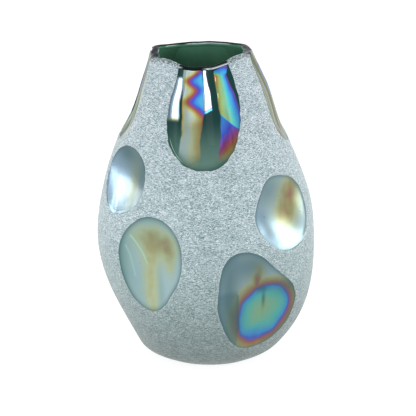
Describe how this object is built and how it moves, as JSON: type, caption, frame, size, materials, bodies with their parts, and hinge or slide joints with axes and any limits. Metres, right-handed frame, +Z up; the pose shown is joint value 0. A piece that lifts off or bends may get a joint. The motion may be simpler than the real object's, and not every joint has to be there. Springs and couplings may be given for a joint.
{
  "type": "vase",
  "caption": "Tall pear-shaped blown glass vase with a wavy squared mouth, a frosted skin, and polished lustred windows pressed into its neck and belly.",
  "frame": {"origin": "on the resting plane, under the middle of the vase's overall box", "axes": "+Z up, along the height; -Y is the front with the fluted neck panel; +X is the viewer's right"},
  "size_m": [0.2101, 0.2039, 0.3064],
  "materials": {
    "frosted_glass": "matt frosted skin with a fine crackled thread grain",
    "green_glass": "smooth dark green glass",
    "lip_glass": "fire-polished, dark and glossy",
    "neck_lustre": "mirror-bright lustre with rainbow bands over green glass",
    "print_lustre": "satin pearl lustre, silver to amber, magenta and blue"
  },
  "bodies": {
    "root": {"frosted_overlay": "frosted_glass", "glass_body": "green_glass", "fire_polished_lip": "lip_glass", "neck_panel_front": "neck_lustre", "neck_panel_right": "neck_lustre", "neck_panel_back": "neck_lustre", "neck_panel_left": "neck_lustre", "thumbprint_upper_left": "print_lustre", "thumbprint_lower_left": "print_lustre", "thumbprint_right": "print_lustre", "thumbprint_lower_right": "print_lustre", "thumbprint_back_upper_right": "print_lustre", "thumbprint_back_lower_right": "print_lustre", "thumbprint_back_lower": "print_lustre", "thumbprint_back_upper_left": "print_lustre", "thumbprint_left_lower": "print_lustre"}
  },
  "joints": []
}
